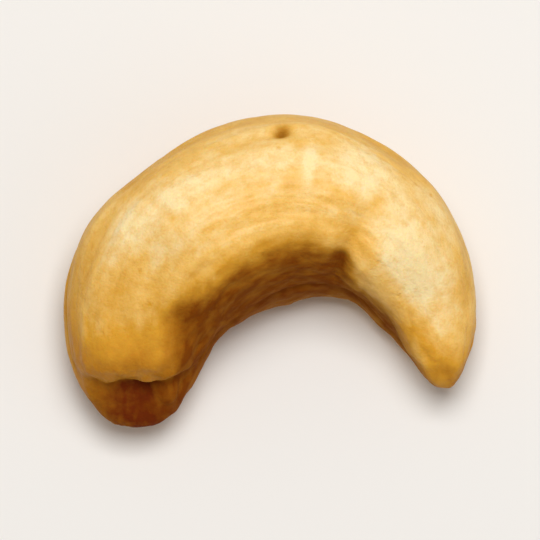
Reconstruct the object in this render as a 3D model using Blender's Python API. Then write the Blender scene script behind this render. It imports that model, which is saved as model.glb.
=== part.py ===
"""A roasted cashew kernel, lying on its side on a flat surface.

The kernel is one solid. Its skin follows a crescent centreline that runs from the blunt tip, up the thick arm,
over the back and down the slim arm to the pointed tip. The stations give the crescent its course, its width and
its thickness. Formulas then add the leaning wall of the bay, the seam between the two halves, the crease where
the slim arm begins, the cleft in the blunt tip and the three feet that the kernel rests on.

Metres, +Z up. The bay opens towards -Y. The origin is on the surface, under the middle of the box.
"""

from collections import namedtuple

import bmesh
import bpy
import numpy as np

MM = 0.001

# Driving dimensions.
LENGTH = 24.5 * MM  # over both arms, along X
BODY_WIDTH = 10.5 * MM  # from the crest of the back to the bay
THICKNESS = 11.5 * MM  # through both halves at the back

# The centreline's course is in shares of LENGTH from the middle of the back, and the widths and thicknesses
# are in shares of BODY_WIDTH and THICKNESS. The stations are evenly spaced along the crescent.
Station = namedtuple("Station", "across up width thickness")
STATIONS = (
    Station(-0.374, -0.548, 0.86, 0.78),
    Station(-0.384, -0.335, 0.90, 0.84),
    Station(-0.336, -0.168, 1.00, 0.92),
    Station(-0.200, -0.052, 1.02, 0.99),
    Station(-0.040, 0.006, 1.00, 1.00),
    Station(0.122, -0.014, 0.92, 0.94),
    Station(0.266, -0.105, 0.76, 0.82),
    Station(0.344, -0.262, 0.70, 0.74),
    Station(0.366, -0.440, 0.50, 0.58),
)
BLUNT_FULLNESS = 5.0  # a higher power keeps its width nearer to the tip
POINTED_FULLNESS = 3.4
CAP_START = 0.88  # where the grid of the sides gives way to the caps over the tips

# The wall of the bay leans so that it shows from above, and meets the top in a rounded corner.
BAY_CORNER = 0.10
BAY_LEAN = 1.4 * MM

# The seam between the two halves, and the cleft that it opens into at the blunt tip. Places across the tip run
# from -1 at the bay to 1 at the back, and levels from -1 underneath to 1 on top.
SEAM_DEPTH = 0.18 * MM
SEAM_HALF_WIDTH = 0.10
CLEFT_FROM = 0.80  # where the seam starts to open, along the blunt arm
CLEFT_TO = 0.94
CLEFT_DEPTH = 0.55 * MM
CLEFT_WIDENING = 0.8
CLEFT_LEVEL = 0.12
CLEFT_PLACE = -0.18
CLEFT_HALF_LENGTH = 0.50

# The upper half's end at the blunt tip is cut back to a face that slants down to the lower half, which reaches
# past it. The face lies this far behind the tip, from its lower level to its upper one, and domes over on top.
TIP_SHEAR = 0.28
TIP_RUN = 0.82 * LENGTH  # length of the centreline for each 1 of along, near the tip
FACE_LOW = -1.5 * MM
FACE_HIGH = 2.5 * MM
FACE_LOW_LEVEL = -0.55
FACE_HIGH_LEVEL = 0.30
FACE_DOME = 8.0 * MM
FACE_BOW = 1.0 * MM
FACE_ROUNDING = 1.1 * MM

# The crease over the shoulder of the bay, and the swelling of the slim arm beside it.
CREASE_PLACE = 0.328
CREASE_SLANT = -0.013
CREASE_HALF_WIDTH = 0.065
CREASE_DEPTH = 0.42 * MM
SWELLING_PLACE = 0.48
SWELLING_HALF_WIDTH = 0.15
SWELLING_HEIGHT = 0.32 * MM

# Slow waves over the upper skin: strength, waves along, waves round and phase.
WAVES = ((0.13, 2.3, 1, 0.4), (0.09, 4.1, -2, 2.1), (0.05, 6.7, 3, 4.4))

# The feet, under the thick arm, the back and the slim arm.
FOOT_SPACING = 0.64
FOOT_LIFT = 0.30 * MM
FOOT_FLAT = 0.10 * MM
TIP_RISE_FROM = 0.66
TIP_RISE_TO = 0.94

SEGMENTS_ALONG = 50
SEGMENTS_ACROSS = 16

ROASTED_GOLD = (0.78, 0.48, 0.17, 1.0)
ROUGHNESS = 0.45


def smooth_step(value, low, high):
    """0 below low, 1 above high, and smooth between them."""
    share = np.clip((value - low) / (high - low), 0.0, 1.0)
    return share * share * (3.0 - 2.0 * share)


def along_stations(values, along):
    """A smooth cubic B-spline over evenly spaced station values, at along from -1 to 1."""
    values = np.asarray(values, float)
    padded = np.concatenate(([2 * values[0] - values[1]], values, [2 * values[-1] - values[-2]]))
    place = (np.clip(along, -1.0, 1.0) + 1.0) / 2.0 * (len(values) - 1)
    first = np.minimum(place.astype(int), len(values) - 2)
    f = place - first
    weights = ((1 - f) ** 3, 3 * f**3 - 6 * f**2 + 4, -3 * f**3 + 3 * f**2 + 3 * f + 1, f**3)
    return sum(weight * padded[first + k] for k, weight in enumerate(weights)) / 6.0


def centreline(along):
    """The crescent's course in the XY plane."""
    across = along_stations([s.across for s in STATIONS], along)
    up = along_stations([s.up for s in STATIONS], along)
    return LENGTH * across, LENGTH * up


def directions(along):
    """The in-plane tangent, and the normal that points away from the bay."""
    step = 1e-3
    x0, y0 = centreline(np.maximum(along - step, -1.0))
    x1, y1 = centreline(np.minimum(along + step, 1.0))
    length = np.hypot(x1 - x0, y1 - y0)
    tangent = np.stack(((x1 - x0) / length, (y1 - y0) / length))
    return tangent, np.stack((-tangent[1], tangent[0]))


def taper(along):
    """How full the section is: 1 in the middle and 0 at both tips."""
    fullness = np.where(along < 0, BLUNT_FULLNESS, POINTED_FULLNESS)
    return np.sqrt(np.clip(1.0 - np.abs(along) ** fullness, 0.0, 1.0))


def hump(value, half_width):
    """1 at zero, and falling away smoothly on both sides."""
    return np.exp(-((value / half_width) ** 2))


def seam_groove(along, across, level):
    """Depth of the groove between the halves, with the cleft at the blunt tip."""
    cleft = smooth_step(-along, CLEFT_FROM, CLEFT_TO)
    half_width = SEAM_HALF_WIDTH * (1.0 + CLEFT_WIDENING * cleft)
    depth = SEAM_DEPTH * (1.0 - smooth_step(along, 0.75, 1.0))
    depth = depth + CLEFT_DEPTH * cleft * hump(across - CLEFT_PLACE, CLEFT_HALF_LENGTH)
    return depth * hump(level - CLEFT_LEVEL * cleft, half_width)


def cut_back(along, across, level, forward):
    """How far the upper half's blunt end moves back to its slanting face, with a rounded edge."""
    face = FACE_LOW + (FACE_HIGH - FACE_LOW) * smooth_step(level, FACE_LOW_LEVEL, FACE_HIGH_LEVEL)
    face = face + FACE_DOME * np.maximum(level - FACE_HIGH_LEVEL, 0.0) ** 2 + FACE_BOW * across**2
    ahead = TIP_RUN * (1.0 + along) + forward - face
    return 0.5 * (np.sqrt(ahead**2 + FACE_ROUNDING**2) - ahead)


def crease(along, out, rise):
    """Depth of the crease over the upper shoulder of the bay."""
    place = CREASE_PLACE + CREASE_SLANT * out
    valley = hump(along - place, CREASE_HALF_WIDTH)
    return CREASE_DEPTH * valley * smooth_step(rise, 0.1, 0.6) * smooth_step(-out, -0.45, 0.35)


def swelling(along, rise):
    """Height of the bulge on top of the slim arm, just past the crease."""
    bulge = hump(along - SWELLING_PLACE, SWELLING_HALF_WIDTH)
    return SWELLING_HEIGHT * bulge * smooth_step(rise, 0.0, 0.9)


def waves(along, out, rise):
    """Slow, uneven swells of the skin, which die out underneath and in the bay."""
    angle = np.arctan2(rise, out)
    swell = sum(
        strength * np.sin(count * np.pi * along + turns * angle + phase)
        for strength, count, turns, phase in WAVES
    )
    return MM * swell * smooth_step(rise, -0.9, 0.1) * smooth_step(out, -0.8, 0.4)


def grid_places(cube):
    """Where a cube's grid points fall: along the kernel, and the direction round it as out and rise."""
    ring = np.maximum(np.abs(cube[:, 1]), np.abs(cube[:, 2]))
    along = cube[:, 0] * np.sqrt(1.0 - (1.0 - CAP_START**2) * ring**2)
    divisor = np.maximum(ring, 1e-9)
    out = np.tan(np.pi / 4 * cube[:, 1] / divisor)
    rise = np.tan(np.pi / 4 * cube[:, 2] / divisor)
    length = np.maximum(np.hypot(out, rise), 1e-9)
    return along, out / length, rise / length


def kernel_points(cube):
    """Moves the points of a cube's grid, one a row, to the skin of the kernel."""
    along, out, rise = grid_places(cube)
    full = taper(along)
    across, level = out * full, rise * full
    half_width = BODY_WIDTH / 2 * along_stations([s.width for s in STATIONS], along)
    half_thick = THICKNESS / 2 * along_stations([s.thickness for s in STATIONS], along)

    relief = full * waves(along, out, rise) + swelling(along, rise)
    relief = relief - crease(along, out, rise) - seam_groove(along, across, level)
    corner = 1.0 + BAY_CORNER * np.where(out < 0, 4.0 * (out * rise) ** 2, 0.0)
    side = across * (half_width * corner + relief)
    side += BAY_LEAN * level * smooth_step(-out, -0.2, 0.8) * (1.0 - along**2) ** 2
    height = level * (half_thick * corner + relief)
    forward = TIP_SHEAR * height * smooth_step(-along, 0.45, 1.0)
    forward += cut_back(along, across, level, forward)
    forward += np.sign(along) * np.sqrt(1.0 - full**2) * relief

    tangent, normal = directions(along)
    x, y = centreline(along)
    x = x + normal[0] * side + tangent[0] * forward
    y = y + normal[1] * side + tangent[1] * forward
    lift = FOOT_LIFT * (0.5 - 0.5 * np.cos(2.0 * np.pi * along / FOOT_SPACING))
    rising = smooth_step(np.abs(along), TIP_RISE_FROM, TIP_RISE_TO)
    middle = half_thick * (full + (1.0 - full) * rising)
    z = np.maximum(middle + height + lift - FOOT_FLAT, 0.0)
    return np.stack((x, y, z), axis=1)


def settle(points):
    """Brings the box to its length, and its middle over the origin, with the feet at z = 0."""
    points = points * LENGTH / np.ptp(points[:, 0])
    low, high = points.min(axis=0), points.max(axis=0)
    return points - np.array(((low[0] + high[0]) / 2, (low[1] + high[1]) / 2, low[2]))


def cube_grid():
    """A cube of side 2, cut along X and across."""
    bm = bmesh.new()
    bmesh.ops.create_cube(bm, size=2.0)
    lengthwise = [e for e in bm.edges if abs(e.verts[0].co.x - e.verts[1].co.x) > 1.0]
    bmesh.ops.subdivide_edges(bm, edges=lengthwise, cuts=SEGMENTS_ALONG - 1, use_grid_fill=True)
    crosswise = [e for e in bm.edges if abs(e.verts[0].co.x - e.verts[1].co.x) < 1e-6]
    bmesh.ops.subdivide_edges(bm, edges=crosswise, cuts=SEGMENTS_ACROSS - 1, use_grid_fill=True)
    return bm


def make_kernel():
    bm = cube_grid()
    cube = np.array([vert.co for vert in bm.verts])
    for vert, point in zip(bm.verts, settle(kernel_points(cube))):
        vert.co = point
    mesh = bpy.data.meshes.new("kernel")
    bm.to_mesh(mesh)
    bm.free()
    mesh.shade_smooth()
    mesh.materials.append(make_skin())
    kernel = bpy.data.objects.new("kernel", mesh)
    bpy.context.scene.collection.objects.link(kernel)


def make_skin():
    skin = bpy.data.materials.new("roasted_skin")
    skin.use_nodes = True
    shader = skin.node_tree.nodes["Principled BSDF"]
    shader.inputs["Base Color"].default_value = ROASTED_GOLD
    shader.inputs["Roughness"].default_value = ROUGHNESS
    shader.inputs["Metallic"].default_value = 0.0
    return skin


def main():
    for obj in list(bpy.data.objects):
        bpy.data.objects.remove(obj)
    make_kernel()


main()
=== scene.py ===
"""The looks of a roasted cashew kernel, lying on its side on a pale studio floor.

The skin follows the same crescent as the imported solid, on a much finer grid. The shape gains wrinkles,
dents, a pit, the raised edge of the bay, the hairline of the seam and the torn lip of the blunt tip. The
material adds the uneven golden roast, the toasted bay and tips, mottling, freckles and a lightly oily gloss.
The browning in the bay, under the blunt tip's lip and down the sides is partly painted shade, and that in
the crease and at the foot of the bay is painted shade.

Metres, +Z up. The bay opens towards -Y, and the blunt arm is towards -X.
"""

import math
from collections import namedtuple

import bmesh
import bpy
import numpy as np
from bpy.props import FloatProperty, FloatVectorProperty, IntProperty, PointerProperty
from bpy.types import Operator, Panel, PropertyGroup
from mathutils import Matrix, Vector, noise


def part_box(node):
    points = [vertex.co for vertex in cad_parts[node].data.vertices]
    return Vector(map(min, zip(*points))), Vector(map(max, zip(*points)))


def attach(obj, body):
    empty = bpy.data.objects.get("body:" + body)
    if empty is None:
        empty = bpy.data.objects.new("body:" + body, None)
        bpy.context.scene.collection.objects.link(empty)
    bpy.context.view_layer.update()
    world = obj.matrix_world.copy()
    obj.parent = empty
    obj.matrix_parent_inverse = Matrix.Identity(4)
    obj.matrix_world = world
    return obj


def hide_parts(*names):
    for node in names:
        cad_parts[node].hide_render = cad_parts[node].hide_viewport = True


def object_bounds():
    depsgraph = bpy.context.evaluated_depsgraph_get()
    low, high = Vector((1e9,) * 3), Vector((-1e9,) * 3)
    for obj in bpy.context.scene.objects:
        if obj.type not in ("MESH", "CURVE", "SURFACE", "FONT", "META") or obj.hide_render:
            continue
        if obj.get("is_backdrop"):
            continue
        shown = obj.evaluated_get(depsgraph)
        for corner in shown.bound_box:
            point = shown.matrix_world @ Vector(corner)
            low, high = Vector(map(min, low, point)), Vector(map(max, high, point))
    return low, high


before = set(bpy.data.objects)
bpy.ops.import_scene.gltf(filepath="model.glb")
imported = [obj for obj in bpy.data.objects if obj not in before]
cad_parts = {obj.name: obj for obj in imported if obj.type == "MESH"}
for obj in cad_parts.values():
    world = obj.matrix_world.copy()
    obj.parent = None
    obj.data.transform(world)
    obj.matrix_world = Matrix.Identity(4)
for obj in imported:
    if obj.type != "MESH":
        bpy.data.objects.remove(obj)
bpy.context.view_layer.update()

bl_info = {
    "name": "Roasted Cashew Kernel",
    "version": (1, 0, 0),
    "blender": (4, 5, 0),
    "location": "3D View > Sidebar > Cashew",
    "description": "Builds a roasted cashew kernel and the studio that it lies in",
    "category": "Add Mesh",
}

MM = 0.001
NODE = "kernel"

# The crescent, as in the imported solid. The centreline's course is in shares of LENGTH from the middle of the
# back, and the widths and thicknesses are in shares of BODY_WIDTH and THICKNESS. The stations are evenly
# spaced along the crescent.
LENGTH = 24.5 * MM  # over both arms
BODY_WIDTH = 10.5 * MM  # from the crest of the back to the bay
THICKNESS = 11.5 * MM  # through both halves at the back
Station = namedtuple("Station", "across up width thickness")
STATIONS = (
    Station(-0.374, -0.548, 0.86, 0.78),
    Station(-0.384, -0.335, 0.90, 0.84),
    Station(-0.336, -0.168, 1.00, 0.92),
    Station(-0.200, -0.052, 1.02, 0.99),
    Station(-0.040, 0.006, 1.00, 1.00),
    Station(0.122, -0.014, 0.92, 0.94),
    Station(0.266, -0.105, 0.76, 0.82),
    Station(0.344, -0.262, 0.70, 0.74),
    Station(0.366, -0.440, 0.50, 0.58),
)
BLUNT_FULLNESS = 5.0  # a higher power keeps its width nearer to the tip
POINTED_FULLNESS = 3.4
CAP_START = 0.88  # where the grid of the sides gives way to the caps over the tips

# The wall of the bay leans so that it shows from above, and meets the top in a rounded corner.
BAY_CORNER = 0.10
BAY_LEAN = 1.4 * MM

# The seam between the two halves, and the cleft that it opens into at the blunt tip. Places across the tip
# run from -1 at the bay to 1 at the back, and levels from -1 underneath to 1 on top.
SEAM_DEPTH = 0.18 * MM
SEAM_HALF_WIDTH = 0.10
CLEFT_FROM = 0.80  # where the seam starts to open, along the blunt arm
CLEFT_TO = 0.94
CLEFT_DEPTH = 0.55 * MM
CLEFT_WIDENING = 0.8
CLEFT_LEVEL = 0.12
CLEFT_PLACE = -0.18
CLEFT_HALF_LENGTH = 0.50

# The upper half's end at the blunt tip is cut back to a face that slants down to the lower half, which
# reaches past it. The face lies this far behind the tip, from its lower level to its upper one, and domes
# over on top.
TIP_SHEAR = 0.28
TIP_RUN = 0.82 * LENGTH  # length of the centreline for each 1 of along, near the tip
FACE_LOW = -1.5 * MM
FACE_HIGH = 2.5 * MM
FACE_LOW_LEVEL = -0.55
FACE_HIGH_LEVEL = 0.30
FACE_DOME = 8.0 * MM
FACE_BOW = 1.0 * MM
FACE_ROUNDING = 1.1 * MM

# The crease over the shoulder of the bay, and the swelling of the slim arm beside it.
CREASE_PLACE = 0.328
CREASE_SLANT = -0.013
CREASE_HALF_WIDTH = 0.065
CREASE_DEPTH = 0.42 * MM
SWELLING_PLACE = 0.48
SWELLING_HALF_WIDTH = 0.15
SWELLING_HEIGHT = 0.32 * MM

# Slow waves over the upper skin: strength, waves along, waves round and phase.
WAVES = ((0.13, 2.3, 1, 0.4), (0.09, 4.1, -2, 2.1), (0.05, 6.7, 3, 4.4))

# The feet, under the thick arm, the back and the slim arm.
FOOT_SPACING = 0.64
FOOT_LIFT = 0.30 * MM
FOOT_FLAT = 0.10 * MM
TIP_RISE_FROM = 0.66
TIP_RISE_TO = 0.94

COURSE_POINTS = 801  # how finely the centreline's length is measured

# Noise in the skin's shape: the size of its lumps in millimetres along, out and up, its layers, each of them
# finer and weaker than the one before, and where in the noise it starts.
Lumps = namedtuple("Lumps", "sizes layers start")
LAYER_WEAKENING = 1.0
LAYER_FINENESS = 2.0
DENTS = Lumps((5.0, 2.8, 2.8), 2, 3.0)
WRINKLES = Lumps((4.6, 1.25, 1.25), 2, 11.0)
FURROWS = Lumps((26.0, 2.2, 2.2), 2, 23.0)
RIPPLES = Lumps((1.7, 0.65, 0.65), 2, 41.0)
CRINKLES = Lumps((3.4, 0.85, 0.85), 2, 17.0)
CRINKLED_PATCHES = Lumps((3.0, 2.0, 2.0), 1, 7.0)
SEAM_WANDERING = Lumps((3.0, 9.0, 9.0), 2, 31.0)
SEAM_FADING = Lumps((2.5, 6.0, 6.0), 2, 57.0)
BAY_WANDERING = Lumps((2.6, 2.6, 2.6), 2, 91.0)
BAY_FRAYING = Lumps((1.3, 0.8, 0.8), 3, 5.0)
BAY_FOLDS = Lumps((6.0, 1.3, 1.0), 3, 71.0)
TEARS = Lumps((2.4, 1.3, 1.3), 3, 89.0)
FLECKS = Lumps((1.1, 0.8, 0.8), 3, 67.0)

# The furrows and the crinkles run where their noise is this near to zero.
FURROW_HALF_WIDTH = 0.07
CRINKLE_HALF_WIDTH = 0.22

# Marks on the upper skin: the place over the floor, the half length, the half width, the turn from +X, how
# much browner the skin is there, and how far it rises. It is paler or sinks where these are below zero.
# Lengths are in millimetres, and turns in degrees.
Mark = namedtuple("Mark", "x y half_length half_width turn tone rise")
MARKS = (
    Mark(-6.3, 3.2, 1.5, 0.45, -40, 0.35, -0.07),
    Mark(-5.2, 4.4, 2.0, 0.55, 25, -0.40, 0.04),
    Mark(-7.4, 2.2, 1.3, 0.50, 55, -0.30, 0.03),
    Mark(-2.6, 4.7, 1.2, 0.35, 22, 0.30, -0.05),
    Mark(-8.3, 5.0, 0.9, 0.60, 40, 0.30, -0.03),
    Mark(2.3, 5.8, 1.4, 0.40, 84, -0.50, 0.06),
    Mark(0.2, 4.6, 1.6, 0.40, 62, -0.25, 0.03),
    Mark(6.3, 3.9, 1.0, 0.45, 62, 0.40, -0.05),
    Mark(4.0, 3.9, 1.5, 0.70, 10, 0.30, -0.02),
    Mark(-8.4, -1.0, 1.4, 0.70, 80, 0.15, -0.05),
    Mark(-6.0, -3.2, 1.0, 0.60, 20, 0.40, -0.05),
    Mark(8.3, 0.9, 1.5, 0.60, 100, -0.40, 0.03),
    Mark(10.0, -3.6, 1.0, 0.45, 110, -0.35, 0.02),
    Mark(-0.8, 5.9, 2.4, 0.9, 12, -0.55, 0.03),
    Mark(-6.0, 3.4, 1.2, 0.7, 35, -0.35, 0.0),
    Mark(5.1, 4.6, 1.5, 0.7, -35, -0.45, 0.0),
    Mark(-9.9, 1.2, 2.2, 0.8, 68, 0.20, -0.02),
    Mark(-5.2, -0.6, 1.6, 1.0, 55, 0.35, 0.0),
    Mark(6.6, -0.6, 2.2, 0.7, -58, 0.45, 0.0),
    Mark(11.4, -0.4, 3.2, 0.6, 98, 0.40, 0.0),
    Mark(-3.4, 4.3, 2.6, 0.8, 22, -0.35, 0.0),
    Mark(8.3, -3.2, 2.6, 0.7, -62, 0.50, 0.0),
    Mark(3.4, 2.1, 1.2, 0.6, 10, 0.25, 0.0),
    Mark(-5.4, -4.0, 1.4, 0.8, 80, 0.45, 0.0),
    Mark(8.6, -0.6, 2.2, 1.2, 100, -0.20, 0.0),
    Mark(5.8, 5.9, 2.2, 1.0, -35, -0.35, 0.0),
    Mark(-8.8, 2.3, 1.2, 0.8, 60, -0.20, 0.0),
    Mark(8.9, -5.2, 1.0, 0.6, -65, -0.45, 0.0),
)
PIT = Mark(0.66, 7.98, 0.62, 0.36, 12, 0.0, -0.28)

# The bay's browning, in shares of the way from the top of the skin to the middle of the bay's wall. It is
# partly toasted skin and partly painted shade on the wall, which faces away from the light. Its upper edge
# wanders and frays. It is higher on the thick arm and over the bay's head, and lower on the slim arm.
BAY_FROM = 0.40
BAY_TO = 0.86
BAY_WANDERS_BY = 0.05
BAY_FRAYS_BY = 0.035
THICK_ARM_PLACE = -0.66
THICK_ARM_HALF_WIDTH = 0.20
THICK_ARM_RISE = 0.20
BAY_HEAD_PLACE = 0.16
BAY_HEAD_HALF_WIDTH = 0.08
BAY_HEAD_RISE = 0.04
SLIM_ARM_FROM = 0.31
SLIM_ARM_TO = 0.39
SLIM_ARM_DROP = 0.20
SLIM_ARM_SOFTENING = 0.12

# The bay's raised upper edge and the hollow under it, as angles above the middle of its wall, in radians.
BAY_EDGE = 0.90
BAY_EDGE_HALF_WIDTH = 0.26
BAY_HOLLOW = 0.25
BAY_HOLLOW_HALF_WIDTH = 0.45
HOLLOW_SHARE = 0.7  # the hollow's depth for each millimetre of the edge's height

# The hairline in the seam.
HAIRLINE_HALF_WIDTH = 0.030
HAIRLINE_WANDERING = 0.05
HAIRLINE_END_FROM = 0.86
HAIRLINE_END_TO = 0.97

# The torn lip of the upper half at the blunt tip, in lobes: the place and half width across the tip, and how
# far each one reaches, in millimetres.
Lobe = namedtuple("Lobe", "place half_width reach")
LIP = (Lobe(0.33, 0.15, 0.34), Lobe(-0.20, 0.24, 0.46))
LIP_LEVEL = 0.31
LIP_HALF_THICKNESS = 0.10
TEARING = 0.10  # how far the tears shift the levels of the lip and the cleft

# How far the edge behind the lip has broken back, in millimetres, and where.
BREAK_DEPTH = 0.40
BREAK_LEVEL = 0.34
BREAK_HALF_THICKNESS = 0.17
BREAK_PLACE = 0.05
BREAK_HALF_WIDTH = 0.62

# The dark inside of the cleft, and the end of the small root in it. The dark is partly toasted skin and
# partly painted shade under the upper half's lip. It fades out under its top, and towards its foot.
DARK_TOP = 0.27
DARK_TOP_FADE = 0.10
DARK_FOOT_FROM = -0.52
DARK_FOOT_TO = -0.16
DARK_PLACE = 0.01
DARK_HALF_WIDTH = 0.52
ROOT_PLACE = -0.42
ROOT_LEVEL = 0.06
ROOT_HALF_WIDTH = 0.15
ROOT_HALF_THICKNESS = 0.11

# Noise in the skin's colour: how many lumps a millimetre it has each way, its detail, and where it starts.
Grain = namedtuple("Grain", "stretch detail start")
BLOTCHES = Grain((0.26, 0.42, 0.42), 4.0, 0.0)
STREAKS = Grain((0.45, 1.7, 1.7), 4.0, 13.0)
MOTTLING = Grain((1.6, 1.6, 1.6), 4.0, 29.0)
SPECKLES = Grain((6.5, 6.5, 6.5), 3.0, 47.0)
FRECKLED_PATCHES = Grain((0.5, 0.5, 0.5), 1.0, 61.0)
FRECKLES_A_MILLIMETRE = 0.85
EVEN = 0.5  # the middle of the grains, which lie between 0 and 1

BARE_GLOSS = 0.02  # the skin's own shine, under the oil
OIL_ROUGHNESS = 0.32
LIGHT_REACH = (1.0, 0.42, 0.14)  # how far red, green and blue light get under the skin, in shares
FLOOR_ROUGHNESS = 0.85


def smooth_step(value, low, high):
    """0 below low, 1 above high, and smooth between them."""
    share = np.clip((value - low) / (high - low), 0.0, 1.0)
    return share * share * (3.0 - 2.0 * share)


def hump(value, half_width):
    """1 at zero, and falling away smoothly on both sides."""
    return np.exp(-((value / half_width) ** 2))


def along_stations(values, along):
    """A smooth cubic B-spline over evenly spaced station values, at along from -1 to 1."""
    values = np.asarray(values, float)
    padded = np.concatenate(([2 * values[0] - values[1]], values, [2 * values[-1] - values[-2]]))
    place = (np.clip(along, -1.0, 1.0) + 1.0) / 2.0 * (len(values) - 1)
    first = np.minimum(place.astype(int), len(values) - 2)
    f = place - first
    weights = ((1 - f) ** 3, 3 * f**3 - 6 * f**2 + 4, -3 * f**3 + 3 * f**2 + 3 * f + 1, f**3)
    return sum(weight * padded[first + k] for k, weight in enumerate(weights)) / 6.0


def centreline(along):
    """The crescent's course in the XY plane."""
    across = along_stations([s.across for s in STATIONS], along)
    up = along_stations([s.up for s in STATIONS], along)
    return LENGTH * across, LENGTH * up


def directions(along):
    """The in-plane tangent, and the normal that points away from the bay."""
    step = 1e-3
    x0, y0 = centreline(np.maximum(along - step, -1.0))
    x1, y1 = centreline(np.minimum(along + step, 1.0))
    length = np.hypot(x1 - x0, y1 - y0)
    tangent = np.stack(((x1 - x0) / length, (y1 - y0) / length))
    return tangent, np.stack((-tangent[1], tangent[0]))


def cube_grid(cuts_along, cuts_across):
    """A cube of side 2, cut along X and across."""
    bm = bmesh.new()
    bmesh.ops.create_cube(bm, size=2.0)
    lengthwise = [e for e in bm.edges if abs(e.verts[0].co.x - e.verts[1].co.x) > 1.0]
    bmesh.ops.subdivide_edges(bm, edges=lengthwise, cuts=cuts_along - 1, use_grid_fill=True)
    crosswise = [e for e in bm.edges if abs(e.verts[0].co.x - e.verts[1].co.x) < 1e-6]
    bmesh.ops.subdivide_edges(bm, edges=crosswise, cuts=cuts_across - 1, use_grid_fill=True)
    return bm


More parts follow.
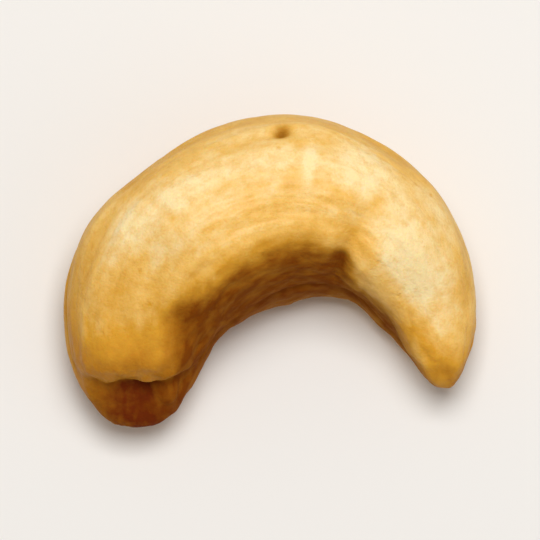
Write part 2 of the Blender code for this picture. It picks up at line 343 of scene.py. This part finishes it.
class Skin:
    """The places of a cube grid's points on the kernel, and what the skin does there."""

    def __init__(self, cube, shape):
        self.shape = shape
        ring = np.maximum(np.abs(cube[:, 1]), np.abs(cube[:, 2]))
        self.along = cube[:, 0] * np.sqrt(1.0 - (1.0 - CAP_START**2) * ring**2)
        divisor = np.maximum(ring, 1e-9)
        out = np.tan(np.pi / 4 * cube[:, 1] / divisor)
        rise = np.tan(np.pi / 4 * cube[:, 2] / divisor)
        length = np.maximum(np.hypot(out, rise), 1e-9)
        self.out, self.rise = out / length, rise / length
        fullness = np.where(self.along < 0, BLUNT_FULLNESS, POINTED_FULLNESS)
        self.full = np.sqrt(np.clip(1.0 - np.abs(self.along) ** fullness, 0.0, 1.0))
        self.across = self.out * self.full
        self.level = self.rise * self.full
        self.half_width = BODY_WIDTH / 2 * along_stations([s.width for s in STATIONS], self.along)
        self.half_thick = THICKNESS / 2 * along_stations([s.thickness for s in STATIONS], self.along)
        self.straight = self.unbent()
        self.plain = self.points(0.0)
        low, high = (np.array(corner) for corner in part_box(NODE))
        self.fit_low, self.fit_scale = self.plain.min(axis=0), (high - low) / np.ptp(self.plain, axis=0)
        self.low = low
        self.plain = self.fitted(self.plain)

    def fitted(self, points):
        """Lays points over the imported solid."""
        return (points - self.fit_low) * self.fit_scale + self.low

    def unbent(self):
        """Places on the kernel as if straightened, in millimetres: along, out from the bay, and up."""
        table = np.linspace(-1.0, 1.0, COURSE_POINTS)
        x, y = centreline(table)
        run = np.concatenate(([0.0], np.cumsum(np.hypot(np.diff(x), np.diff(y)))))
        run = np.interp(self.along, table, run)
        side = self.out * self.full * self.half_width
        return np.stack((run, side, self.level * self.half_thick), axis=1) / MM

    def lumps(self, kind):
        """Smooth noise of this kind, round 0."""
        places = self.straight / np.array(kind.sizes) + kind.start
        return np.array(
            [noise.fractal(Vector(p), LAYER_WEAKENING, LAYER_FINENESS, kind.layers) for p in places]
        )

    def seam_groove(self):
        """Depth of the groove between the halves, which opens into the cleft at the blunt tip."""
        cleft = smooth_step(-self.along, CLEFT_FROM, CLEFT_TO)
        half_width = SEAM_HALF_WIDTH * (1.0 + CLEFT_WIDENING * cleft)
        depth = SEAM_DEPTH * (1.0 - smooth_step(self.along, 0.75, 1.0))
        depth = depth + CLEFT_DEPTH * cleft * hump(self.across - CLEFT_PLACE, CLEFT_HALF_LENGTH)
        return depth * hump(self.level - CLEFT_LEVEL * cleft, half_width)

    def crease_valley(self, half_width):
        """How deep in the crease over the bay's shoulder the skin is, from 0 to 1."""
        valley = hump(self.along - CREASE_PLACE - CREASE_SLANT * self.out, half_width)
        return valley * smooth_step(self.rise, 0.1, 0.6) * smooth_step(-self.out, -0.45, 0.35)

    def swelling(self):
        """Height of the bulge on top of the slim arm."""
        bulge = hump(self.along - SWELLING_PLACE, SWELLING_HALF_WIDTH)
        return SWELLING_HEIGHT * bulge * smooth_step(self.rise, 0.0, 0.9)

    def waves(self):
        """Slow, uneven swells of the skin, which die out underneath and in the bay."""
        angle = np.arctan2(self.rise, self.out)
        swell = sum(
            strength * np.sin(count * np.pi * self.along + turns * angle + phase)
            for strength, count, turns, phase in WAVES
        )
        return MM * swell * smooth_step(self.rise, -0.9, 0.1) * smooth_step(self.out, -0.8, 0.4)

    def cut_back(self, forward):
        """How far the upper half's blunt end is cut back, to a slanting face with a rounded edge."""
        slant = smooth_step(self.level, FACE_LOW_LEVEL, FACE_HIGH_LEVEL)
        dome = FACE_DOME * np.maximum(self.level - FACE_HIGH_LEVEL, 0.0) ** 2
        face = FACE_LOW + (FACE_HIGH - FACE_LOW) * slant + dome + FACE_BOW * self.across**2
        ahead = TIP_RUN * (1.0 + self.along) + forward - face
        return 0.5 * (np.sqrt(ahead**2 + FACE_ROUNDING**2) - ahead)

    def points(self, fine):
        """The skin's points, with fine relief in metres added to the solid's own."""
        along, out, full, level = self.along, self.out, self.full, self.level
        relief = full * self.waves() + self.swelling() + fine
        relief = relief - CREASE_DEPTH * self.crease_valley(CREASE_HALF_WIDTH) - self.seam_groove()
        corner = 1.0 + BAY_CORNER * np.where(out < 0, 4.0 * (out * self.rise) ** 2, 0.0)
        side = out * full * (self.half_width * corner + relief)
        side += BAY_LEAN * level * smooth_step(-out, -0.2, 0.8) * (1.0 - along**2) ** 2
        height = level * (self.half_thick * corner + relief)
        forward = TIP_SHEAR * height * smooth_step(-along, 0.45, 1.0)
        forward += self.cut_back(forward)
        forward += np.sign(along) * np.sqrt(1.0 - full**2) * relief
        tangent, normal = directions(along)
        x, y = centreline(along)
        x = x + normal[0] * side + tangent[0] * forward
        y = y + normal[1] * side + tangent[1] * forward
        lift = FOOT_LIFT * (0.5 - 0.5 * np.cos(2.0 * np.pi * along / FOOT_SPACING))
        rising = smooth_step(np.abs(along), TIP_RISE_FROM, TIP_RISE_TO)
        middle = self.half_thick * (full + (1.0 - full) * rising)
        z = np.maximum(middle + height + lift - FOOT_FLAT, 0.0)
        return np.stack((x, y, z), axis=1)

    def mark(self, mark):
        """How much of a mark on the upper skin lies at each point, from 0 to 1."""
        x = self.plain[:, 0] / MM - mark.x
        y = self.plain[:, 1] / MM - mark.y
        turn = math.radians(mark.turn)
        length = (x * math.cos(turn) + y * math.sin(turn)) / mark.half_length
        width = (y * math.cos(turn) - x * math.sin(turn)) / mark.half_width
        return np.exp(-(length**2 + width**2)) * smooth_step(self.level, -0.4, 0.0)

    def bay_share(self):
        """How much of the skin is inside the bay, from 0 to 1, with a ragged upper edge."""
        slim_arm = smooth_step(self.along, SLIM_ARM_FROM, SLIM_ARM_TO)
        inward = -self.out - SLIM_ARM_DROP * slim_arm
        inward += BAY_WANDERS_BY * self.lumps(BAY_WANDERING) + BAY_FRAYS_BY * self.lumps(BAY_FRAYING)
        inward += THICK_ARM_RISE * hump(self.along - THICK_ARM_PLACE, THICK_ARM_HALF_WIDTH)
        inward += BAY_HEAD_RISE * hump(self.along - BAY_HEAD_PLACE, BAY_HEAD_HALF_WIDTH)
        share = smooth_step(inward, BAY_FROM - SLIM_ARM_SOFTENING * slim_arm, BAY_TO)
        share = share * smooth_step(self.full, 0.20, 0.85)
        return share * (0.55 + 0.45 * smooth_step(self.rise, -0.7, 0.1))

    def hairline(self):
        """How deep in the seam's hairline the skin is, from 0 to 1. It wanders, and fades in places."""
        level = self.level + HAIRLINE_WANDERING * self.lumps(SEAM_WANDERING)
        ending = smooth_step(np.abs(self.along), HAIRLINE_END_FROM, HAIRLINE_END_TO)
        seam = hump(level, HAIRLINE_HALF_WIDTH) * (1.0 - ending)
        return seam * smooth_step(self.lumps(SEAM_FADING), -0.5, 0.2)

    def furrow(self, wrinkle):
        """Long, thin furrows along the skin, which show where it is wrinkled."""
        return hump(self.lumps(FURROWS), FURROW_HALF_WIDTH) * smooth_step(wrinkle, -0.3, 0.4)

    def crinkle(self):
        """Short, thin crinkles, which show in patches."""
        line = 1.0 - np.abs(self.lumps(CRINKLES)) / CRINKLE_HALF_WIDTH
        return np.clip(line, 0.0, 1.0) ** 2 * smooth_step(self.lumps(CRINKLED_PATCHES), -0.25, 0.35)

    def lip(self, torn):
        """How far the upper half's torn edge reaches past its end, less where it has broken back."""
        lobes = sum(lobe.reach * hump(self.across - lobe.place, lobe.half_width) for lobe in LIP)
        broken = BREAK_DEPTH * hump(self.across - BREAK_PLACE, BREAK_HALF_WIDTH)
        broken = broken * hump(torn - BREAK_LEVEL, BREAK_HALF_THICKNESS)
        return lobes * hump(torn - LIP_LEVEL, LIP_HALF_THICKNESS) - broken

    def dark_cleft(self, torn):
        """How dark the inside of the cleft is, from 0 to 1. It is partly toasted skin and partly painted shade
        under the lip.
        """
        dark = smooth_step(DARK_TOP - torn, 0.0, DARK_TOP_FADE)
        dark = dark * smooth_step(torn, DARK_FOOT_FROM, DARK_FOOT_TO)
        dark = dark * hump(self.across - DARK_PLACE, DARK_HALF_WIDTH)
        return dark * (0.76 + 0.36 * hump(self.across + 0.20, 0.28))

    def root_end(self):
        """How much of the skin is the end of the small root, from 0 to 1."""
        across = hump(self.across - ROOT_PLACE, ROOT_HALF_WIDTH)
        return across * hump(self.level - ROOT_LEVEL, ROOT_HALF_THICKNESS)

    def dress(self):
        """Works out the fine relief, and the tone, toast and scorch that the material reads. All three hold
        some painted shade.
        """
        shape = self.shape
        in_bay = self.bay_share()
        hairline = self.hairline()
        dent = self.lumps(DENTS)
        wrinkle = self.lumps(WRINKLES)
        furrow = self.furrow(wrinkle)
        crinkle = self.crinkle()
        tears = self.lumps(TEARS)
        flecks = self.lumps(FLECKS)
        torn = self.level + TEARING * tears
        tip = smooth_step(-self.along, 0.84, 0.95)
        cleft = tip * self.dark_cleft(torn)
        root = tip * self.root_end()
        pit = self.mark(PIT)
        valley = self.crease_valley(CREASE_HALF_WIDTH)
        line = self.crease_valley(CREASE_HALF_WIDTH / 3)
        wall = np.arctan2(self.rise, -self.out)
        bay_side = (1.0 - self.along**4) * smooth_step(-self.out, -0.1, 0.3)  # fades out at the tips
        edge = bay_side * hump(wall - BAY_EDGE, BAY_EDGE_HALF_WIDTH)
        hollow = bay_side * hump(wall - BAY_HOLLOW, BAY_HOLLOW_HALF_WIDTH)
        marks = [(mark, self.mark(mark)) for mark in MARKS]

        fine = shape.dent_depth * dent
        fine += shape.wrinkle_depth * (wrinkle - 0.25 * furrow * (1.0 - in_bay))
        fine += shape.wrinkle_depth * (0.40 * self.lumps(RIPPLES) - 0.30 * crinkle * (1.0 - in_bay))
        fine += shape.wrinkle_depth * in_bay * self.lumps(BAY_FOLDS)
        fine -= shape.seam_depth * hairline
        fine -= shape.crease_depth * line * smooth_step(-self.out, -0.35, 0.2)
        fine += MM * tip * self.lip(torn) + shape.root_height * root
        fine += shape.tear_depth * (tears + 0.5 * flecks) * cleft * smooth_step(self.level, -0.25, 0.05)
        fine += shape.edge_height * (edge - HOLLOW_SHARE * hollow)
        fine += MM * PIT.rise * pit
        fine += MM * sum(mark.rise * amount for mark, amount in marks)
        self.fine = fine

        # The roast is browner on the blunt arm and at both tips, and paler on the slim arm. It is browner down
        # the sides and underneath too, which is partly painted shade.
        self.tone = (
            0.36
            + 0.52 * smooth_step(-self.along, 0.45, 0.95)
            + 0.38 * smooth_step(-self.along, 0.72, 0.93)
            + 0.42 * smooth_step(self.along, 0.62, 0.98)
            + 0.36 * smooth_step(-self.rise, -0.92, 0.1)
            - 0.22 * smooth_step(self.along, 0.30, 0.50)
            - 0.10 * dent
            - 0.12 * wrinkle
            + 0.05 * furrow
            + 0.07 * crinkle
            + 0.70 * sum(mark.tone * amount for mark, amount in marks)
        )

        # The toasted places are the seam, the lip's edge and the pointed tip, and the skin is darker in the
        # pit. In the bay and on the lower half's blunt end under the lip the browning is partly toasted skin
        # and partly painted shade, and in the crease it is painted shade.
        lower_end = smooth_step(0.30 - torn, 0.0, 0.12) * smooth_step(self.level, -0.62, -0.15)
        lower_end = lower_end * (0.90 + 0.5 * flecks) * (0.62 + 0.38 * hump(self.across + 0.08, 0.45))
        lip_edge = hump(torn - 0.42, 0.15) * hump(self.across, 0.70) * (0.8 + 0.8 * flecks)
        # Painted shade: the bay's share is partly shade on its wall, and the crease's share is shade in its
        # valley.
        toast = in_bay + 0.30 * valley * smooth_step(-self.out, -0.3, 0.6) + 0.40 * hairline + 0.90 * pit
        toast += tip * (0.85 * lower_end + 0.44 * lip_edge) + 0.48 * smooth_step(self.along, 0.84, 0.99)
        self.toast = np.clip(toast, 0.0, 1.0)

        # The scorch darkens the cleft round the root's end, partly as painted shade under the lip, and the
        # pit's middle.
        # At the foot of the bay's wall it is painted shade.
        scorch = 1.20 * cleft * (1.0 - 0.55 * root) * (1.0 - 0.8 * flecks) + 0.40 * pit * pit
        # Painted shade: darker towards the foot of the bay's wall.
        scorch += 0.50 * in_bay * bay_side * smooth_step(-self.rise, -0.35, 0.45)
        self.scorch = np.clip(scorch, 0.0, 1.0)


class Link:
    """A shader value that adds its Math nodes when Python reckons with it."""

    def __init__(self, finish, socket):
        self.finish = finish
        self.socket = socket

    def reckon(self, operation, *terms, clamp=False):
        settings = {"operation": operation, "use_clamp": clamp}
        return self.finish.node("ShaderNodeMath", settings, dict(enumerate(terms)))

    def __add__(self, other):
        return self.reckon("ADD", self, other)

    __radd__ = __add__

    def __sub__(self, other):
        return self.reckon("SUBTRACT", self, other)

    def __rsub__(self, other):
        return self.reckon("SUBTRACT", other, self)

    def __mul__(self, other):
        return self.reckon("MULTIPLY", self, other)

    __rmul__ = __mul__

    def kept(self):
        """Held between 0 and 1."""
        return self.reckon("ADD", self, 0.0, clamp=True)

    def between(self, low, high):
        """0 at low, 1 at high, and smooth between them."""
        return self.finish.node(
            "ShaderNodeMapRange",
            {"interpolation_type": "SMOOTHSTEP", "clamp": True},
            {"Value": self, "From Min": low, "From Max": high},
        )

    def mixed(self, first, second):
        """The colour second over the colour first, by this value."""
        return self.finish.node(
            "ShaderNodeMix", {"data_type": "RGBA"}, {"Factor": self, "A": first, "B": second}, "Result"
        )


class Finish:
    """A material whose nodes are made one by one."""

    def __init__(self, name):
        self.material = bpy.data.materials.new(name)
        self.material.use_nodes = True
        self.tree = self.material.node_tree
        self.shader = self.tree.nodes["Principled BSDF"]

    def node(self, kind, settings, sockets, output=0):
        """Adds a node of this kind. Its settings come first, then the values or links of its sockets."""
        made = self.tree.nodes.new(kind)
        for name, value in settings.items():
            if name == "stops":
                self.set_stops(made.color_ramp, value)
            else:
                setattr(made, name, value)
        for name, value in sockets.items():
            self.feed(self.find(made.inputs, name), value)
        return Link(self, self.find(made.outputs, output))

    @staticmethod
    def find(sockets, name):
        """The socket of that number, or the one of that name that the node's settings leave in use."""
        if isinstance(name, int):
            return sockets[name]
        return next(socket for socket in sockets if socket.name == name and socket.enabled)

    @staticmethod
    def set_stops(ramp, stops):
        while len(ramp.elements) < len(stops):
            ramp.elements.new(0.5)
        for element, (place, colour) in zip(ramp.elements, stops):
            element.position = place
            element.color = colour

    def feed(self, socket, value):
        if isinstance(value, Link):
            self.tree.links.new(value.socket, socket)
        else:
            socket.default_value = value

    def attribute(self, name, output):
        return self.node("ShaderNodeAttribute", {"attribute_name": name}, {}, output)

    def grain(self, places, kind):
        """Noise of this kind, from 0 to 1, over places in millimetres."""
        scaled = self.node(
            "ShaderNodeVectorMath",
            {"operation": "MULTIPLY_ADD"},
            {0: places, 1: kind.stretch, 2: (kind.start, kind.start, kind.start)},
        )
        return self.node("ShaderNodeTexNoise", {}, {"Vector": scaled, "Scale": 1.0, "Detail": kind.detail})

    def set(self, **sockets):
        """Feeds the shader's own sockets, named with _ for a space."""
        for name, value in sockets.items():
            self.feed(self.shader.inputs[name.replace("_", " ")], value)


def rgba(colour):
    return (*colour, 1.0)


def roasted_skin(skin):
    """The uneven golden roast of the skin, with painted shade in the bay, the crease, the foot of the bay and
    under the blunt tip's lip.
    """
    finish = Finish("roasted_skin")
    straight = finish.attribute("straight", "Vector")
    place = finish.attribute("place", "Vector")
    tone = finish.attribute("tone", "Fac")
    # The toast browns the skin. In the bay and under the blunt tip's lip it is partly painted shade, and in
    # the crease it is painted shade.
    toast = finish.attribute("toast", "Fac")
    # The scorch darkens the cleft and the pit's middle. At the foot of the bay it is painted shade, and under
    # the lip it is partly painted shade.
    scorch = finish.attribute("scorch", "Fac")

    blotch = finish.grain(straight, BLOTCHES) - EVEN
    streak = finish.grain(straight, STREAKS) - EVEN
    mottle = finish.grain(place, MOTTLING) - EVEN
    speckle = finish.grain(place, SPECKLES) - EVEN
    cells = finish.node(
        "ShaderNodeTexVoronoi",
        {"feature": "F1"},
        {"Vector": place, "Scale": FRECKLES_A_MILLIMETRE},
        "Distance",
    )
    patches = finish.grain(straight, FRECKLED_PATCHES).between(0.54, 0.70)
    freckle = (1.0 - (cells + 0.25 * speckle).between(0.04, 0.20)) * patches

    depth = tone + 0.90 * blotch + 0.24 * streak + 0.30 * freckle + 0.80 * toast
    depth = depth + (0.38 * mottle + 0.16 * speckle) * (1.0 - 0.6 * toast)
    stops = (
        (0.00, rgba(skin.cream)),
        (0.33, rgba(skin.gold)),
        (0.64, rgba(skin.amber)),
        (1.00, rgba(skin.brown)),
    )
    roast = finish.node("ShaderNodeValToRGB", {"stops": stops}, {"Fac": (0.76 * depth).kept()})
    dapple = (0.70 * (mottle + 0.07) + 0.45 * speckle).kept()
    roast = dapple.mixed(roast, rgba(skin.amber))
    # Where the toast is strong, the skin turns to the toast colour. In places this is painted shade.
    banded = 0.40 + 0.80 * streak + 0.22 * mottle + 0.50 * toast
    browned_and_shaded = (1.35 * (toast + 0.14 * mottle + 0.40 * streak - 0.25) * banded).kept()
    colour = browned_and_shaded.mixed(roast, rgba(skin.toast))
    # The scorch turns the skin to the scorch colour. In places this is painted shade.
    burnt_and_shaded = (scorch * (1.0 + 0.8 * mottle)).kept()
    colour = burnt_and_shaded.mixed(colour, rgba(skin.scorch))

    height = 0.50 * streak + 0.45 * mottle + 0.34 * speckle - 0.25 * freckle
    bump = finish.node(
        "ShaderNodeBump",
        {},
        {"Strength": 1.0, "Distance": skin.grain_height, "Height": height},
    )
    finish.set(
        Base_Color=colour,
        Roughness=skin.roughness + 0.16 * blotch + 0.10 * mottle + 0.34 * browned_and_shaded,
        Specular_IOR_Level=BARE_GLOSS,
        Coat_Weight=(skin.oil * (1.0 + 2.5 * mottle) - 0.5 * browned_and_shaded - burnt_and_shaded).kept(),
        Coat_Roughness=OIL_ROUGHNESS,
        Normal=bump,
        Subsurface_Weight=skin.softness,
        Subsurface_Radius=LIGHT_REACH,
        Subsurface_Scale=skin.soft_depth,
    )
    return finish.material


def add_attribute(mesh, name, kind, field, values):
    """Stores one value a point on the mesh, where the material reads it by name."""
    layer = mesh.attributes.new(name, kind, "POINT")
    layer.data.foreach_set(field, np.ascontiguousarray(values, np.float32).ravel())


def colour_property(name, description, default):
    return FloatVectorProperty(
        name=name, description=description, subtype="COLOR", size=3, min=0.0, max=1.0, default=default
    )


def length_property(name, description, default):
    return FloatProperty(
        name=name, description=description, unit="LENGTH", precision=6, min=0.0, default=default
    )


def place_property(name, description, default):
    return FloatVectorProperty(
        name=name, description=description, subtype="TRANSLATION", unit="LENGTH", size=3, default=default
    )


def share_property(name, description, default):
    return FloatProperty(name=name, description=description, min=0.0, max=1.0, default=default)


def power_property(name, description, default):
    return FloatProperty(name=name, description=description, unit="POWER", min=0.0, default=default)


class KernelShape(PropertyGroup):
    """Sizes of the fine relief, and of the grid that carries it."""

    cuts_along: IntProperty(name="Cuts along", description="Faces from tip to tip", min=20, default=256)
    cuts_across: IntProperty(name="Cuts across", description="Faces on each side", min=8, default=72)
    dent_depth: length_property("Dents", "Depth of the broad, shallow dents", 0.14 * MM)
    wrinkle_depth: length_property("Wrinkles", "Depth of the lengthwise wrinkles", 0.11 * MM)
    seam_depth: length_property("Seam", "Depth of the hairline between the halves", 0.12 * MM)
    crease_depth: length_property("Crease", "Extra depth in the middle of the crease", 0.07 * MM)
    tear_depth: length_property("Tears", "Height of the torn edges in the cleft", 0.25 * MM)
    root_height: length_property("Root", "Height of the small root's end in the cleft", 0.85 * MM)
    edge_height: length_property("Edge", "Height of the bay's upper edge", 0.14 * MM)


class KernelSkin(PropertyGroup):
    """Colours and gloss of the skin."""

    cream: colour_property("Cream", "The palest skin", (0.96, 0.75, 0.385))
    gold: colour_property("Gold", "The usual roast", (0.86, 0.52, 0.135))
    amber: colour_property("Amber", "The well roasted skin", (0.70, 0.34, 0.030))
    brown: colour_property("Brown", "The darkest of the roast", (0.50, 0.20, 0.012))
    # The toast colour also paints shade: partly in the bay and under the blunt tip's lip, and wholly in the
    # crease.
    toast: colour_property("Toast", "The bay, the seam and the tips", (0.215, 0.054, 0.003))
    # The scorch colour also paints shade at the foot of the bay, and partly under the blunt tip's lip.
    scorch: colour_property("Scorch", "Inside the cleft and the pit", (0.150, 0.023, 0.003))
    roughness: share_property("Roughness", "Mean roughness", 0.46)
    oil: share_property("Oil", "How oily the skin is", 0.20)
    softness: share_property("Softness", "How much light gets under the skin", 0.22)
    soft_depth: length_property("Soft depth", "How far light gets under the skin", 1.3 * MM)
    grain_height: length_property("Grain", "Height of the finest grain", 0.14 * MM)


class Studio(PropertyGroup):
    """The floor, the lights and the camera."""

    floor_colour: colour_property("Floor", "Colour of the floor", (0.82, 0.80, 0.77))
    floor_size: length_property("Floor size", "Side of the floor", 3.0)
    key_power: power_property("Key", "Power of the key light", 1.01)
    key_size: length_property("Key size", "Side of the key light", 0.16)
    key_place: place_property("Key place", "Where the key light hangs", (0.012, 0.08, 0.34))
    fill_power: power_property("Fill", "Power of the fill light", 0.12)
    fill_size: length_property("Fill size", "Side of the fill light", 0.32)
    fill_place: place_property("Fill place", "Where the fill light hangs", (0.30, -0.14, 0.22))
    air: FloatProperty(
        name="Air", description="Strength of the light from all round", min=0.0, default=0.30
    )
    air_colour: colour_property("Air colour", "Colour of the light from all round", (1.0, 0.955, 0.90))
    framed: length_property("Framed", "Width of the picture at the kernel", 32.0 * MM)
    distance: length_property("Distance", "From the camera to the kernel", 0.60)
    tilt: FloatProperty(
        name="Tilt",
        description="The camera's lean from straight above",
        unit="ROTATION",
        default=math.radians(4.0),
    )


class CashewSettings(PropertyGroup):
    """All the settings of the kernel and its studio."""

    shape: PointerProperty(type=KernelShape)
    skin: PointerProperty(type=KernelSkin)
    studio: PointerProperty(type=Studio)


class CASHEW_OT_kernel(Operator):
    """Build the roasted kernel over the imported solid"""

    bl_idname = "cashew.kernel"
    bl_label = "Build Kernel"

    def execute(self, context):
        settings = context.scene.cashew
        bm = cube_grid(settings.shape.cuts_along, settings.shape.cuts_across)
        cube = np.array([vert.co for vert in bm.verts])
        mesh = bpy.data.meshes.new("roasted_kernel")
        bm.to_mesh(mesh)
        bm.free()
        skin = Skin(cube, settings.shape)
        skin.dress()
        points = skin.fitted(skin.points(skin.fine))
        mesh.vertices.foreach_set("co", points.astype(np.float32).ravel())
        add_attribute(mesh, "straight", "FLOAT_VECTOR", "vector", skin.straight)
        add_attribute(mesh, "place", "FLOAT_VECTOR", "vector", points / MM)
        for name in ("tone", "toast", "scorch"):
            add_attribute(mesh, name, "FLOAT", "value", getattr(skin, name))
        mesh.update()
        mesh.shade_smooth()
        mesh.materials.append(roasted_skin(settings.skin))
        if not np.isfinite(points).all():
            raise RuntimeError("the kernel's skin has points without a place")
        kernel = bpy.data.objects.new("roasted_kernel", mesh)
        context.scene.collection.objects.link(kernel)
        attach(kernel, "root")
        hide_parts(NODE)
        return {"FINISHED"}


def add_softbox(context, name, power, size, place, aim):
    """An area light at place that shines at aim."""
    light = bpy.data.lights.new(name, "AREA")
    light.energy = power
    light.size = size
    lamp = bpy.data.objects.new(name, light)
    lamp.location = place
    lamp.rotation_euler = (Vector(aim) - Vector(place)).to_track_quat("-Z", "Y").to_euler()
    context.scene.collection.objects.link(lamp)


class CASHEW_OT_studio(Operator):
    """Build the floor, the lights and the camera"""

    bl_idname = "cashew.studio"
    bl_label = "Build Studio"

    def execute(self, context):
        studio = context.scene.cashew.studio
        low, high = (Vector(corner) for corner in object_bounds())
        middle = (low + high) / 2
        self.add_floor(context, studio)
        add_softbox(context, "key", studio.key_power, studio.key_size, studio.key_place, middle)
        add_softbox(context, "fill", studio.fill_power, studio.fill_size, studio.fill_place, middle)
        self.add_air(context, studio)
        self.add_camera(context, studio, middle)
        context.scene.view_settings.view_transform = "Standard"
        return {"FINISHED"}

    @staticmethod
    def add_floor(context, studio):
        bm = bmesh.new()
        bmesh.ops.create_grid(bm, x_segments=1, y_segments=1, size=studio.floor_size / 2)
        mesh = bpy.data.meshes.new("floor")
        bm.to_mesh(mesh)
        bm.free()
        finish = Finish("floor_paper")
        finish.set(Base_Color=rgba(studio.floor_colour), Roughness=FLOOR_ROUGHNESS)
        mesh.materials.append(finish.material)
        floor = bpy.data.objects.new("floor", mesh)
        context.scene.collection.objects.link(floor)
        floor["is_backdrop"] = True

    @staticmethod
    def add_air(context, studio):
        world = bpy.data.worlds.new("studio_air")
        world.use_nodes = True
        background = world.node_tree.nodes["Background"]
        background.inputs["Color"].default_value = rgba(studio.air_colour)
        background.inputs["Strength"].default_value = studio.air
        context.scene.world = world

    @staticmethod
    def add_camera(context, studio, middle):
        lens = bpy.data.cameras.new("camera")
        lens.lens = lens.sensor_width * studio.distance / studio.framed
        lens.clip_start, lens.clip_end = studio.distance / 10, studio.distance * 10
        camera = bpy.data.objects.new("camera", lens)
        back = Vector((0.0, -math.sin(studio.tilt), math.cos(studio.tilt)))
        camera.location = middle + back * studio.distance
        camera.rotation_euler = (studio.tilt, 0.0, 0.0)
        context.scene.collection.objects.link(camera)
        context.scene.camera = camera


class CASHEW_PT_panel(Panel):
    """The pieces and their sizes, in the sidebar"""

    bl_label = "Roasted Cashew"
    bl_idname = "CASHEW_PT_panel"
    bl_space_type = "VIEW_3D"
    bl_region_type = "UI"
    bl_category = "Cashew"

    def draw(self, context):
        settings = context.scene.cashew
        for group, operator in (
            ((settings.shape, settings.skin), CASHEW_OT_kernel),
            ((settings.studio,), CASHEW_OT_studio),
        ):
            box = self.layout.box()
            for values in group:
                for name in type(values).__annotations__:
                    box.prop(values, name)
            box.operator(operator.bl_idname)


CLASSES = (
    KernelShape,
    KernelSkin,
    Studio,
    CashewSettings,
    CASHEW_OT_kernel,
    CASHEW_OT_studio,
    CASHEW_PT_panel,
)


def register():
    for cls in CLASSES:
        bpy.utils.register_class(cls)
    bpy.types.Scene.cashew = PointerProperty(type=CashewSettings)


def unregister():
    del bpy.types.Scene.cashew
    for cls in reversed(CLASSES):
        bpy.utils.unregister_class(cls)


def main():
    register()
    bpy.ops.cashew.kernel()
    bpy.ops.cashew.studio()


if __name__ == "__main__":
    main()
